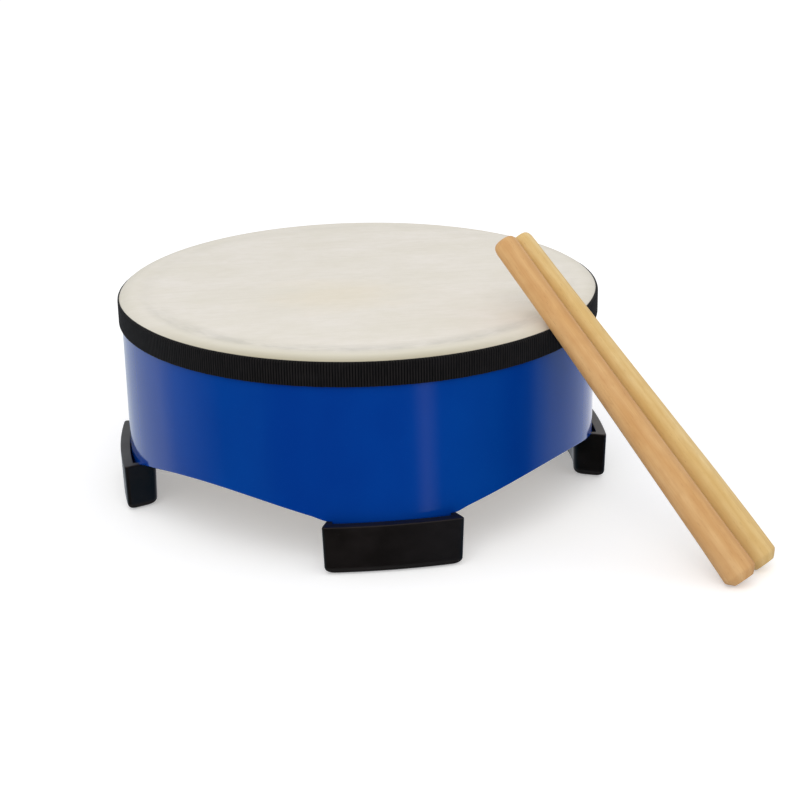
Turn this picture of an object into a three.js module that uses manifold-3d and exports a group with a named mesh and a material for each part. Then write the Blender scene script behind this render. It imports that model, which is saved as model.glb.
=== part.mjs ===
// Children's floor drum with two beaters leaning on its rim. Millimetres, +Z up.
// The drum stands on four moulded feet. Its foot_front points along -Y.

import * as THREE from 'three';
import { mergeVertices } from 'three/addons/utils/BufferGeometryUtils.js';
import Module from 'manifold-3d';

const wasm = await Module();
wasm.setup();

const degrees = Math.PI / 180;
const up = new THREE.Vector3(0, 0, 1);

// Driving dimensions of the shell and the head
const clearance = 0.3; // left between pieces that touch on the real drum
const shellRadius = 125;
const shellWall = 5;
const headTop = 108.7; // height of the playing surface above the floor
const headThickness = 0.6;
const headBend = 9.4; // width of the band in which the head bends over the rim
const headDrop = 2.8; // how far the head falls in that band
const tapeThickness = 0.8;
const tapeWidth = 12.1;
const tapeTopDrop = 1.6; // upper edge of the tape below the playing surface
const tapeEdgeRound = 0.35;
const skirtCover = 1.2; // the tape reaches this far below the hide's edge
const hoopWall = 5;
const hoopDepth = 22;
const hoopEdgeRound = 1.5;

// Driving dimensions of the scalloped edge and the feet
const footNames = ['right', 'back', 'left', 'front']; // a quarter turn from one to the next
const footHeight = 25.6;
const footHalfWidth = 35.4; // at the outer corners
const footWall = 5.3; // rubber outside the leg, at the middle
const footFaceRadius = 280; // the outer face is flatter than the shell
const footInnerWall = 3.7; // rubber behind the leg
const footEndWall = 2.7; // rubber beyond each side of the leg
const footEndSlope = 24 * degrees; // the ends close in towards the drum
const footRound = 3.2; // edges at the floor
const footTopEdge = 0.5;
const footCornerRound = 1.4; // upright corners
const footDraft = 0.6; // how much smaller the foot is at the floor, on each side
const archHeight = 11; // height of each arch above the feet
const legDepth = 10; // how far each leg of the shell goes down into its foot

// Driving dimensions of the fasteners
const screwsPerFoot = 2;
const screwSpacing = 15 * degrees;
const screwDiameter = 3;
const screwLength = 7.5;
const screwTip = 1.5;
const screwHeadDiameter = 6;
const screwHeadHeight = 1.8;
const screwHeadFlat = 0.55; // share of the head's radius that is flat
const screwHeadRim = 0.4; // share of the head's height where its dome starts
const stapleCount = 16;
const stapleWidth = 10;
const stapleWire = 1.2; // height of the flat wire
const stapleGauge = 0.5; // thickness of the flat wire
const stapleLeg = 4;

// Driving dimensions of the beaters
const beaterLength = 200;
const beaterThickRadius = 8.6;
const beaterThinRadius = 5.9;
const beaterThickChamfer = 3.5;
const beaterThinChamfer = 2;
const beaterBreakIn = 0.3; // where the chamfer bends, as shares of its width and its height
const beaterBreakUp = 0.35;
const beaterAzimuth = -45 * degrees; // where the pair leans, midway between two feet
const beaterStand = 110.8; // the thick ends stand this far out from the tape
const beaterThickSpace = 4.2; // between the two thick ends
const beaterThinSpace = 0.8; // between the two thin ends

// Facets
const ringSegments = 96;
const rimSteps = 4;
const hoopRimSteps = 2;
const archSteps = 10;
const footCurveSegments = 4;
const footRoundSteps = 3;
const screwSegments = 10;
const beaterSegments = 32;
const legSteps = 6;

// How closely the shapes are worked out
const sameCorner = 1e-4; // corners nearer than this are one corner
const leanStations = 400; // places along a beater where its distance to the rim is taken
const leanHalvings = 40;
const steepestLean = 80 * degrees;

// Sizes worked out from the driving dimensions
const headRadius = shellRadius + clearance + headThickness;
const headFlatRadius = headRadius - headBend;
const tapeInner = headRadius + clearance;
const tapeOuter = tapeInner + tapeThickness;
const tapeTop = headTop - tapeTopDrop;
const tapeBottom = tapeTop - tapeWidth;
const skirtBottom = tapeBottom + skirtCover;
const rimCentre = headTop - headDrop; // height at which the bend over the rim becomes upright
const woodOffset = headThickness + clearance; // wood below the outside of the hide
const shellInner = shellRadius - shellWall;
const hoopOuter = shellInner - clearance;
const hoopInner = hoopOuter - hoopWall;
const hoopBottom = headTop - woodOffset - hoopDepth;
const shellEdge = footHeight + clearance; // lower edge of the shell beside each foot
const legBottom = footHeight - legDepth;
const slotInner = shellInner - clearance;
const slotOuter = shellRadius + clearance;
const slotBottom = legBottom - clearance;
const footBack = slotInner - footInnerWall;
const footFace = slotOuter + footWall;
const footFaceCentre = footFace - footFaceRadius;
const footCount = footNames.length;
const footPitch = 2 * Math.PI / footCount;
const slotHalfAngle = endCorner(0, slotInner, footEndWall).angle;
const legHalfAngle = slotHalfAngle - clearance / shellInner;
const archHalfAngle = endCorner(0, shellRadius, 0).angle; // each arch starts at a foot's end
const screwHeight = (legBottom + footHeight) / 2;
const stapleHeight = (skirtBottom + tapeTop) / 2;
const beaterReach = tapeOuter + beaterStand;
const past = 1; // cutting solids run this far past what they cut

// Materials
const lacquer = { color: 0x0a3a9c, roughness: 0.22, metalness: 0 };
const plywood = { color: 0xcda873, roughness: 0.6, metalness: 0 };
const hide = { color: 0xe4dfd2, roughness: 0.6, metalness: 0 };
const wovenTape = { color: 0x17171a, roughness: 0.85, metalness: 0 };
const rubber = { color: 0x1c1b1d, roughness: 0.55, metalness: 0 };
const steel = { color: 0xb4b6b8, roughness: 0.35, metalness: 1 };
const palePinkWood = { color: 0xd2a873, roughness: 0.5, metalness: 0 };
const yellowWood = { color: 0xdfbb7a, roughness: 0.5, metalness: 0 };

// Solids and booleans

// Keeps the shared corners only once and drops triangles that have no area
function closedGeometry(source) {
  const bare = source.clone();
  bare.deleteAttribute('normal');
  bare.deleteAttribute('uv');
  const merged = mergeVertices(bare, sameCorner);
  const index = merged.index.array;
  const kept = [];
  for (let i = 0; i < index.length; i += 3) {
    const [a, b, c] = [index[i], index[i + 1], index[i + 2]];
    if (a !== b && b !== c && c !== a) kept.push(a, b, c);
  }
  merged.setIndex(kept);
  return merged;
}

function solid(source) {
  const geometry = closedGeometry(source);
  return new wasm.Manifold(new wasm.Mesh({
    numProp: 3,
    vertProperties: new Float32Array(geometry.attributes.position.array),
    triVerts: new Uint32Array(geometry.index.array),
  }));
}

function geometryOf(result) {
  const { numProp, vertProperties, triVerts } = result.getMesh();
  const positions = [];
  for (let i = 0; i < vertProperties.length; i += numProp) {
    positions.push(vertProperties[i], vertProperties[i + 1], vertProperties[i + 2]);
  }
  const geometry = new THREE.BufferGeometry();
  geometry.setAttribute('position', new THREE.Float32BufferAttribute(positions, 3));
  geometry.setIndex([...triVerts]);
  return geometry;
}

function cut(base, cutters) {
  let result = solid(base);
  for (const cutter of cutters) result = result.subtract(solid(cutter));
  return geometryOf(result);
}

// A turned solid: the profile is a list of [radius, height], revolved about +Z
function turned(profile, segments) {
  const points = profile.map(([radius, height]) => new THREE.Vector2(radius, height));
  return new THREE.LatheGeometry(points, segments).rotateX(Math.PI / 2);
}

// A closed ring section, revolved about +Z
function turnedRing(section) {
  return turned([...section, section[0]], ringSegments);
}

// Part of a ring about +Z whose upper face follows topAt(angle)
function ringPiece({ inner, outer, bottom, topAt, from, to, steps }) {
  const positions = [];
  for (let i = 0; i <= steps; i += 1) {
    const angle = from + (to - from) * i / steps;
    const top = topAt(angle);
    for (const [radius, height] of [[inner, bottom], [outer, bottom], [outer, top], [inner, top]]) {
      positions.push(radius * Math.cos(angle), radius * Math.sin(angle), height);
    }
  }
  const index = [0, 1, 2, 0, 2, 3];
  for (let i = 0; i < steps; i += 1) {
    for (let side = 0; side < 4; side += 1) {
      const a = 4 * i + side;
      const b = 4 * i + (side + 1) % 4;
      index.push(a, a + 4, b + 4, a, b + 4, b);
    }
  }
  const last = 4 * steps;
  index.push(last, last + 2, last + 1, last, last + 3, last + 2);
  const geometry = new THREE.BufferGeometry();
  geometry.setAttribute('position', new THREE.Float32BufferAttribute(positions, 3));
  geometry.setIndex(index);
  return geometry;
}

// Stacks level outlines, which all have the same number of points, into one solid
function loft(layers) {
  const count = layers[0].points.length;
  const positions = layers.flatMap(({ points, height }) => points.flatMap(({ x, y }) => [x, y, height]));
  const index = [];
  for (let layer = 0; layer + 1 < layers.length; layer += 1) {
    for (let i = 0; i < count; i += 1) {
      const a = layer * count + i;
      const b = layer * count + (i + 1) % count;
      index.push(a, b, b + count, a, b + count, a + count);
    }
  }
  const top = (layers.length - 1) * count;
  for (const [a, b, c] of THREE.ShapeUtils.triangulateShape(layers[0].points, [])) {
    index.push(a, c, b);
  }
  for (const [a, b, c] of THREE.ShapeUtils.triangulateShape(layers.at(-1).points, [])) {
    index.push(top + a, top + b, top + c);
  }
  const geometry = new THREE.BufferGeometry();
  geometry.setAttribute('position', new THREE.Float32BufferAttribute(positions, 3));
  geometry.setIndex(index);
  return geometry;
}

// The rounded rim: a quarter of an ellipse, offset inwards from the outside of the hide.
// Points run from the upright side (start) to the flat top (end), between two radii.
function rimCurve(offset, outerRadius, innerRadius, steps = rimSteps) {
  const wide = headBend - offset;
  const high = headDrop - offset;
  const angleAt = (radius) => {
    const share = THREE.MathUtils.clamp((radius - headFlatRadius) / wide, 0, 1);
    return Math.acos(share);
  };
  const start = angleAt(outerRadius);
  const end = angleAt(innerRadius);
  const points = [];
  for (let i = 0; i <= steps; i += 1) {
    const angle = start + (end - start) * i / steps;
    points.push([headFlatRadius + wide * Math.cos(angle), rimCentre + high * Math.sin(angle)]);
  }
  return points;
}

// Shell with its arches and legs
function archTop(angle) {
  const fromFoot = Math.min(angle, footPitch - angle);
  const span = footPitch / 2 - archHalfAngle;
  const share = THREE.MathUtils.clamp((fromFoot - archHalfAngle) / span, 0, 1);
  return shellEdge + archHeight * Math.sin(share * Math.PI / 2);
}

function archCutter(foot) {
  const piece = ringPiece({
    inner: shellInner - past,
    outer: shellRadius + past,
    bottom: legBottom - past,
    topAt: archTop,
    from: legHalfAngle,
    to: footPitch - legHalfAngle,
    steps: 2 * archSteps,
  });
  return piece.rotateZ(foot * footPitch);
}

function shellGeometry() {
  const rim = rimCurve(woodOffset, shellRadius, shellInner);
  const ring = turnedRing([[shellInner, legBottom], [shellRadius, legBottom], ...rim]);
  const cutters = [];
  for (let foot = 0; foot < footCount; foot += 1) cutters.push(archCutter(foot));
  return cut(ring, [...cutters, ...screwHoles(), ...stapleHoles()]);
}

// Hoop glued inside the top of the shell
function hoopGeometry() {
  const rim = rimCurve(woodOffset, hoopOuter, hoopInner, hoopRimSteps);
  return turnedRing([
    [hoopInner, hoopBottom + hoopEdgeRound],
    [hoopInner + hoopEdgeRound, hoopBottom],
    [hoopOuter, hoopBottom],
    ...rim,
    [hoopInner, headTop - woodOffset],
  ]);
}

// Hide: a flat disc that bends over the rim into a skirt under the tape
function headGeometry() {
  const outside = rimCurve(0, headRadius, headFlatRadius);
  const inside = rimCurve(headThickness, headRadius - headThickness, headFlatRadius).reverse();
  const cup = turned([
    [0, headTop - headThickness],
    ...inside,
    [headRadius - headThickness, skirtBottom],
    [headRadius, skirtBottom],
    ...outside,
    [0, headTop],
  ], ringSegments);
  return cut(cup, stapleWindows());
}

function tapeGeometry() {
  const edge = tapeEdgeRound;
  return turnedRing([
    [tapeInner, tapeBottom],
    [tapeOuter - edge, tapeBottom],
    [tapeOuter, tapeBottom + edge],
    [tapeOuter, tapeTop - edge],
    [tapeOuter - edge, tapeTop],
    [tapeInner, tapeTop],
  ]);
}

// Feet

// Where the foot's end, moved in by an inset, meets a circle centred on the X axis
function endCorner(centre, radius, inset) {
  const along = new THREE.Vector2(Math.cos(footEndSlope), Math.sin(footEndSlope));
  const outwards = new THREE.Vector2(-along.y, along.x);
  const faceX = footFaceCentre + Math.sqrt(footFaceRadius ** 2 - footHalfWidth ** 2);
  const start = new THREE.Vector2(faceX - centre, footHalfWidth).addScaledVector(outwards, -inset);
  const reach = start.dot(along);
  const step = Math.sqrt(radius ** 2 - start.lengthSq() + reach ** 2) - reach;
  const corner = start.addScaledVector(along, step);
  return { x: corner.x + centre, y: corner.y, angle: Math.atan2(corner.y, corner.x) };
}

// Plan of a foot that points along +X, moved in on every side by an inset
function footPlan(inset) {
  const outer = footFaceRadius - inset;
  const inner = footBack + inset;
  const outerCorner = endCorner(footFaceCentre, outer, inset);
  const innerCorner = endCorner(0, inner, inset);
  const outerArc = outerCorner.angle - footCornerRound / outer;
  const innerArc = innerCorner.angle - footCornerRound / inner;
  const stepX = footCornerRound * Math.cos(footEndSlope);
  const stepY = footCornerRound * Math.sin(footEndSlope);
  const nearOuter = { x: outerCorner.x - stepX, y: outerCorner.y - stepY };
  const nearInner = { x: innerCorner.x + stepX, y: innerCorner.y + stepY };
  const faceEnd = {
    x: footFaceCentre + outer * Math.cos(outerArc),
    y: outer * Math.sin(outerArc),
  };
  const backEnd = { x: inner * Math.cos(innerArc), y: inner * Math.sin(innerArc) };
  const plan = new THREE.Shape();
  plan.moveTo(faceEnd.x, -faceEnd.y);
  plan.absarc(footFaceCentre, 0, outer, -outerArc, outerArc, false);
  plan.quadraticCurveTo(outerCorner.x, outerCorner.y, nearOuter.x, nearOuter.y);
  plan.lineTo(nearInner.x, nearInner.y);
  plan.quadraticCurveTo(innerCorner.x, innerCorner.y, backEnd.x, backEnd.y);
  plan.absarc(0, 0, inner, innerArc, -innerArc, true);
  plan.quadraticCurveTo(innerCorner.x, -innerCorner.y, nearInner.x, -nearInner.y);
  plan.lineTo(nearOuter.x, -nearOuter.y);
  plan.quadraticCurveTo(outerCorner.x, -outerCorner.y, faceEnd.x, -faceEnd.y);
  return plan;
}

// One level of the foot: its plan at a height, drawn in by the draft and an edge's rounding
function footLayer(height, rounding) {
  const inset = rounding + footDraft * (1 - height / footHeight);
  const points = footPlan(inset).getPoints(footCurveSegments);
  if (points[0].distanceTo(points.at(-1)) < sameCorner) points.pop();
  return { points, height };
}

// Slot for the shell's leg: its inner wall follows the shell, its outer wall the foot's face
function slotGeometry() {
  const outer = footFaceRadius - footWall;
  const end = Math.asin(slotOuter * Math.sin(slotHalfAngle) / outer);
  const plan = new THREE.Shape();
  plan.absarc(footFaceCentre, 0, outer, -end, end, false);
  plan.absarc(0, 0, slotInner, slotHalfAngle, -slotHalfAngle, true);
  const depth = footHeight + past - slotBottom;
  const slot = new THREE.ExtrudeGeometry(plan, {
    depth,
    bevelEnabled: false,
    curveSegments: legSteps,
  });
  return slot.translate(0, 0, slotBottom);
}

function footGeometry(foot) {
  const layers = [];
  for (let step = 0; step <= footRoundSteps; step += 1) {
    const angle = Math.PI / 2 * step / footRoundSteps;
    layers.push(footLayer(footRound * (1 - Math.cos(angle)), footRound * (1 - Math.sin(angle))));
  }
  layers.push(footLayer(footHeight - footTopEdge, 0), footLayer(footHeight, footTopEdge));
  return cut(loft(layers), [slotGeometry(), ...footScrewHoles()]).rotateZ(foot * footPitch);
}

// Screws, from inside the drum through the foot into the leg
function screwAngle(foot, screw) {
  return foot * footPitch + (screw - (screwsPerFoot - 1) / 2) * screwSpacing;
}

function screwGeometry() {
  const radius = screwDiameter / 2;
  const domeRadius = screwHeadDiameter / 2;
  return turned([
    [0, -screwHeadHeight],
    [domeRadius * screwHeadFlat, -screwHeadHeight],
    [domeRadius, -screwHeadHeight * screwHeadRim],
    [domeRadius, 0],
    [radius, 0],
    [radius, screwLength - screwTip],
    [0, screwLength],
  ], screwSegments);
}

// Lays a piece made along +Z on a radius of the drum, pointing outwards
function alongRadius(geometry, angle, radius, height) {
  return geometry
    .rotateY(Math.PI / 2)
    .translate(radius, 0, height)
    .rotateZ(angle);
}

function screwHole(angle) {
  const seat = footBack - clearance;
  const deep = screwLength + clearance + past;
  const hole = new THREE.CylinderGeometry(
    screwDiameter / 2 + clearance,
    screwDiameter / 2 + clearance,
    deep,
    screwSegments,
  );
  hole.rotateX(Math.PI / 2).translate(0, 0, deep / 2 - past);
  return alongRadius(hole, angle, seat, screwHeight);
}

function footScrewHoles() {
  const holes = [];
  for (let screw = 0; screw < screwsPerFoot; screw += 1) holes.push(screwHole(screwAngle(0, screw)));
  return holes;
}

function screwHoles() {
  const holes = [];
  for (let foot = 0; foot < footCount; foot += 1) {
    for (let screw = 0; screw < screwsPerFoot; screw += 1) {
      holes.push(screwHole(screwAngle(foot, screw)));
    }
  }
  return holes;
}

// Staples through the hide's skirt into the shell, under the tape
function stapleAngle(staple) {
  return (staple + 0.5) * 2 * Math.PI / stapleCount;
}

function boxOnRadius({ from, to, across, offset, tall, angle }) {
  const box = new THREE.BoxGeometry(to - from, across, tall);
  return box.translate((from + to) / 2, offset, stapleHeight).rotateZ(angle);
}

function stapleGeometry(staple) {
  const half = stapleWidth / 2;
  const crownInner = headRadius - headThickness;
  const crownOuter = crownInner + stapleGauge;
  const legEnd = crownInner - stapleLeg;
  const wire = new THREE.Shape([
    new THREE.Vector2(legEnd, -half),
    new THREE.Vector2(crownOuter, -half),
    new THREE.Vector2(crownOuter, half),
    new THREE.Vector2(legEnd, half),
    new THREE.Vector2(legEnd, half - stapleGauge),
    new THREE.Vector2(crownInner, half - stapleGauge),
    new THREE.Vector2(crownInner, stapleGauge - half),
    new THREE.Vector2(legEnd, stapleGauge - half),
  ]);
  const flat = new THREE.ExtrudeGeometry(wire, { depth: stapleWire, bevelEnabled: false });
  return flat.translate(0, 0, stapleHeight - stapleWire / 2).rotateZ(stapleAngle(staple));
}

function stapleHoles() {
  const from = headRadius - headThickness - stapleLeg - clearance;
  const across = stapleGauge + 2 * clearance;
  const offset = (stapleWidth - stapleGauge) / 2;
  const tall = stapleWire + 2 * clearance;
  const holes = [];
  for (let staple = 0; staple < stapleCount; staple += 1) {
    for (const side of [-1, 1]) {
      const angle = stapleAngle(staple);
      holes.push(boxOnRadius({ from, to: shellRadius + past, across, offset: side * offset, tall, angle }));
    }
  }
  return holes;
}

function stapleWindows() {
  const across = stapleWidth + 2 * clearance;
  const tall = stapleWire + 2 * clearance;
  const windows = [];
  for (let staple = 0; staple < stapleCount; staple += 1) {
    const from = headRadius - headThickness - past;
    const angle = stapleAngle(staple);
    windows.push(boxOnRadius({ from, to: headRadius + past, across, offset: 0, tall, angle }));
  }
  return windows;
}

// Beaters

// Profile from the thick end at height 0 to the thin end
function beaterProfile() {
  const thick = beaterThickChamfer;
  const thin = beaterThinChamfer;
  return [
    [0, 0],
    [beaterThickRadius - thick, 0],
    [beaterThickRadius - thick * beaterBreakIn, thick * beaterBreakUp],
    [beaterThickRadius, thick],
    [beaterThinRadius, beaterLength - thin],
    [beaterThinRadius - thin * beaterBreakIn, beaterLength - thin * beaterBreakUp],
    [beaterThinRadius - thin, beaterLength],
    [0, beaterLength],
  ];
}

// Height of the thick end's centre when its lowest edge stands on the floor
function beaterBaseHeight(slope) {
  const needed = beaterProfile().map(([radius, height]) => {
    return radius * Math.cos(slope) - height * Math.sin(slope);
  });
  return Math.max(...needed);
}

// The pair's own directions: up along the beaters, and across from one to the other
function pairDirections(slope) {
  const outwards = new THREE.Vector3(Math.cos(beaterAzimuth), Math.sin(beaterAzimuth), 0);
  const across = new THREE.Vector3().crossVectors(up, outwards);
  const along = outwards.clone().multiplyScalar(-Math.cos(slope)).addScaledVector(up, Math.sin(slope));
  return { outwards, across, along };
}

function beaterPose(side, slope) {
  const { outwards, across, along } = pairDirections(slope);
  const thickOffset = beaterThickRadius + beaterThickSpace / 2;
  const thinOffset = beaterThinRadius + beaterThinSpace / 2;
  const closing = Math.asin((thickOffset - thinOffset) / beaterLength);
  const direction = along.clone().multiplyScalar(Math.cos(closing))
    .addScaledVector(across, -side * Math.sin(closing));
  const base = outwards.clone().multiplyScalar(beaterReach)
    .addScaledVector(across, side * thickOffset)
    .addScaledVector(up, beaterBaseHeight(slope));
  return { base, direction };
}

// Least distance from a leaning beater to the rim of the drum
function rimDistance(slope) {
  const { base, direction } = beaterPose(1, slope);
  const rim = [[tapeOuter, tapeBottom], [tapeOuter, tapeTop], ...rimCurve(0, headRadius, headFlatRadius)];
  let least = Infinity;
  for (let i = 0; i <= leanStations; i += 1) {
    const share = i / leanStations;
    const point = base.clone().addScaledVector(direction, share * beaterLength);
    const radius = THREE.MathUtils.lerp(beaterThickRadius, beaterThinRadius, share);
    for (const [rimRadius, rimHeight] of rim) {
      const distance = Math.hypot(Math.hypot(point.x, point.y) - rimRadius, point.z - rimHeight);
      least = Math.min(least, distance - radius);
    }
  }
  return least;
}

// The slope at which the beaters lie on the rim, found by halving
function restingSlope() {
  let low = Math.atan2(tapeTop, beaterReach - tapeOuter);
  let high = steepestLean;
  for (let i = 0; i < leanHalvings; i += 1) {
    const middle = (low + high) / 2;
    if (rimDistance(middle) < clearance) low = middle;
    else high = middle;
  }
  return high;
}

// Scene graph
const drum = new THREE.Group();

function add(name, geometry, look) {
  const mesh = new THREE.Mesh(geometry, new THREE.MeshStandardMaterial(look));
  mesh.name = name;
  drum.add(mesh);
  return mesh;
}

add('shell', shellGeometry(), lacquer);
add('rim_hoop', hoopGeometry(), plywood);
add('drumhead', headGeometry(), hide);
add('rim_tape', tapeGeometry(), wovenTape);

footNames.forEach((place, foot) => {
  add(`foot_${place}`, footGeometry(foot), rubber);
  for (let screw = 0; screw < screwsPerFoot; screw += 1) {
    const seat = footBack - clearance;
    const geometry = alongRadius(screwGeometry(), screwAngle(foot, screw), seat, screwHeight);
    add(`foot_screw_${place}_${'ab'[screw]}`, geometry, steel);
  }
});

for (let staple = 0; staple < stapleCount; staple += 1) {
  add(`head_staple_${String(staple + 1).padStart(2, '0')}`, stapleGeometry(staple), steel);
}

const slope = restingSlope();
for (const [name, side, look] of [['beater_left', -1, palePinkWood], ['beater_right', 1, yellowWood]]) {
  const { base, direction } = beaterPose(side, slope);
  const beater = add(name, turned(beaterProfile(), beaterSegments), look);
  beater.quaternion.setFromUnitVectors(up, direction);
  beater.position.copy(base);
}

// The origin is on the floor, midway along the part's length and its width
const middle = new THREE.Box3().setFromObject(drum, true).getCenter(new THREE.Vector3());
drum.position.set(-middle.x, -middle.y, 0);

const part = new THREE.Group();
part.add(drum);

export default part;
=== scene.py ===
import math

import bmesh
import bpy
import numpy as np
from mathutils import Matrix, Vector


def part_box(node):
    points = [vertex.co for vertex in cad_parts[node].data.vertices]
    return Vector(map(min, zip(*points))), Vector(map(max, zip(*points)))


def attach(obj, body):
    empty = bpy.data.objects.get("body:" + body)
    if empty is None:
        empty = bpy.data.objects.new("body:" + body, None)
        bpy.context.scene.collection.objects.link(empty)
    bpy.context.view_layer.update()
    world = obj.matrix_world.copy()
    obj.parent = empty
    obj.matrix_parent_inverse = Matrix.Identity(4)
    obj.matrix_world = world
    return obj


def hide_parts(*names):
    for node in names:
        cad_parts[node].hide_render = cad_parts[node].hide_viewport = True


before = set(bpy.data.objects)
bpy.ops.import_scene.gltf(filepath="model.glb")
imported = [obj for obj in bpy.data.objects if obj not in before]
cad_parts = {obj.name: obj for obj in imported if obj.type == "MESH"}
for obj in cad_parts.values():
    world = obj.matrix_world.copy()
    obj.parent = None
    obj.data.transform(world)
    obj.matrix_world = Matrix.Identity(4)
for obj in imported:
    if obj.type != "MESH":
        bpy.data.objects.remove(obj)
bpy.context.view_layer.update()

# Sizes of the drum in millimetres, heights above the floor
CLEARANCE = 0.3  # between neighbouring pieces
SHELL_RADIUS = 125.0
SHELL_WALL = 5.0
HEAD_TOP = 108.7
HEAD_THICKNESS = 0.6
HEAD_BEND = 9.4  # how far in from its side the hide bends over the rim
HEAD_DROP = 2.8  # and how far down
TAPE_THICKNESS = 0.6
TAPE_GAP = 0.15
TAPE_WIDTH = 12.1
TAPE_LIFT = 0.15  # the tape lies this much higher at the front
TAPE_SINK = 1.3  # and this much lower at the back
TAPE_TOP_DROP = 1.6
TAPE_EDGE = 0.3  # rounding of its edges
LAP_START, LAP_END = math.radians(97), math.radians(105)  # its lapped ends, counted from the drum's right
LAP_RISE = 0.55
SKIRT_COVER = 1.2  # the tape reaches this far below the hide
HOOP_WALL = 5.0
HOOP_DEPTH = 22.0
CORD_PITCH = 1.35  # from one cord of the tape to the next
CORD_DEPTH = 0.2
VENEER = 1.25  # thickness of one layer of the plywood
GROWTH_RING = 2.2  # width of one ring of the beaters' wood
JOINT_TURN = 2.86  # where the shell's ends meet, in radians from the front
SHADE_RING_TURN = -0.15  # where the painted grey shade ring on the hide is strongest, in radians from the front
BEND_SHADE_TURN = -0.17  # where the bend over the rim is painted darkest, as painted shade

# Sizes of the feet
FOOT_HEIGHT = 25.6
FOOT_HALF_WIDTH = 35.4
FOOT_WALL = 5.3
FOOT_FACE_RADIUS = 280.0
FOOT_INNER_WALL = 3.7
FOOT_SWELL = 1.1  # the soft inner wall bulges round the screws
FOOT_END_WALL = 1.9
FOOT_END_SLOPE = math.radians(24)
FOOT_ROUND = 4.4
FOOT_TOP_EDGE = 0.7
FOOT_FACE_CORNER = 2.6
FOOT_BACK_CORNER = 3.2
FOOT_DRAFT = 0.6
SLOT_CORNER = 0.5
ARCH_HEIGHT = 11.0
LEG_DEPTH = 10.0
SLOT_LIP = 0.4  # rounding of the slot's mouth
SHELL_EDGE_ROUND = 0.7  # sanded edge of the plywood
SEAT_EDGE_ROUND = 0.12  # the same edge where it sits on a foot
SEAT_GAP = 0.03  # between that edge and the foot

# Sizes of the beaters
BEATER_THICK = 8.6
BEATER_THIN = 5.9
BEATER_THICK_BEVEL = 3.5
BEATER_THIN_ROUND = 4.6
# Where a hand-turned stick is thicker or thinner than a straight taper: share from the thin end, millimetres
LEFT_TURNING = ((0.0, 0.25), (0.06, 0.1), (0.15, -0.2), (0.3, -0.4), (0.5, -0.4), (0.9, -0.3), (1.0, 0.0))
RIGHT_TURNING = ((0.0, -0.1), (0.15, -0.2), (0.3, -0.15), (0.5, 0.1), (0.75, 0.5), (0.9, 0.4), (1.0, 0.0))
LEFT_OVERRUN = 1.2  # the left stick's rounded end stands this much further out
# The sticks settle on the thin tape and on the floor, by so many millimetres along each axis
LEFT_SETTLED = Vector((0.27, 1.96, -0.75))
RIGHT_SETTLED = Vector((0.24, 1.76, -0.67))

# The studio, in metres
ROOM_LIGHT = 0.82  # light of the white room that falls on the drum
PAPER_TONE = 0.87  # of the floor as it is seen
PAPER_BOUNCE = 0.8  # of the floor as it lights the drum
PAPER_GLOW = 0.34
FLOOR_HALF = 6.0
FLOOR_LEVEL = -0.00005
CARD_DISTANCE = 3.0
CARD_LOW = -6.0
CARD_HIGH = 3.0
CARD_SIDES = 96
CARD_TURN = math.radians(-6.3)  # from the front of the drum to the middle of the ring of cards
CARD_LEAN = 0.08  # how far the cards' edges lean, in radians for each metre of height
CARD_LEAN_FROM = -1.1  # height at which they stand in their places

# Worked out from the sizes above
HEAD_RADIUS = SHELL_RADIUS + CLEARANCE + HEAD_THICKNESS
HEAD_FLAT = HEAD_RADIUS - HEAD_BEND
TAPE_INNER = HEAD_RADIUS + TAPE_GAP
TAPE_OUTER = TAPE_INNER + TAPE_THICKNESS
TAPE_TOP = HEAD_TOP - TAPE_TOP_DROP
TAPE_BOTTOM = TAPE_TOP - TAPE_WIDTH
SKIRT_BOTTOM = TAPE_BOTTOM + SKIRT_COVER
RIM_CENTRE = HEAD_TOP - HEAD_DROP
WOOD_OFFSET = HEAD_THICKNESS + CLEARANCE
SHELL_INNER = SHELL_RADIUS - SHELL_WALL
HOOP_OUTER = SHELL_INNER - CLEARANCE
HOOP_INNER = HOOP_OUTER - HOOP_WALL
HOOP_BOTTOM = HEAD_TOP - WOOD_OFFSET - HOOP_DEPTH
LEG_BOTTOM = FOOT_HEIGHT - LEG_DEPTH
SLOT_INNER = SHELL_INNER - CLEARANCE
SLOT_OUTER = SHELL_RADIUS + CLEARANCE
SLOT_BOTTOM = LEG_BOTTOM - CLEARANCE
FOOT_BACK = SLOT_INNER - FOOT_INNER_WALL - FOOT_SWELL
SCREW_SEAT = SLOT_INNER - FOOT_INNER_WALL - CLEARANCE
FOOT_FACE_CENTRE = SLOT_OUTER + FOOT_WALL - FOOT_FACE_RADIUS
CORDS = 4 * round(math.pi / 2 * TAPE_OUTER / CORD_PITCH)

# The drum stands round this point of the floor
tape_low, tape_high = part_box("rim_tape")
AXIS = ((tape_low + tape_high) / 2 * 1000).xy
FOOT_TURNS = {"right": 0, "back": 1, "left": 2, "front": 3}
QUARTER = math.pi / 2


# Meshes

def clamped(share):
    """A share, held between 0 and 1."""
    return min(max(share, 0), 1)


def eased(value, low, high):
    """Smooth step from 0 at low to 1 at high."""
    share = clamped((value - low) / (high - low))
    return share * share * (3 - 2 * share)


def grid_faces(rows, columns, closed_rows, closed_columns):
    """Four-sided faces of a grid of points that is stored row after row."""
    faces = []
    for row in range(rows if closed_rows else rows - 1):
        for column in range(columns if closed_columns else columns - 1):
            below = (row + 1) % rows * columns
            beside = (column + 1) % columns
            faces.append((row * columns + column, row * columns + beside, below + beside, below + column))
    return faces


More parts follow.
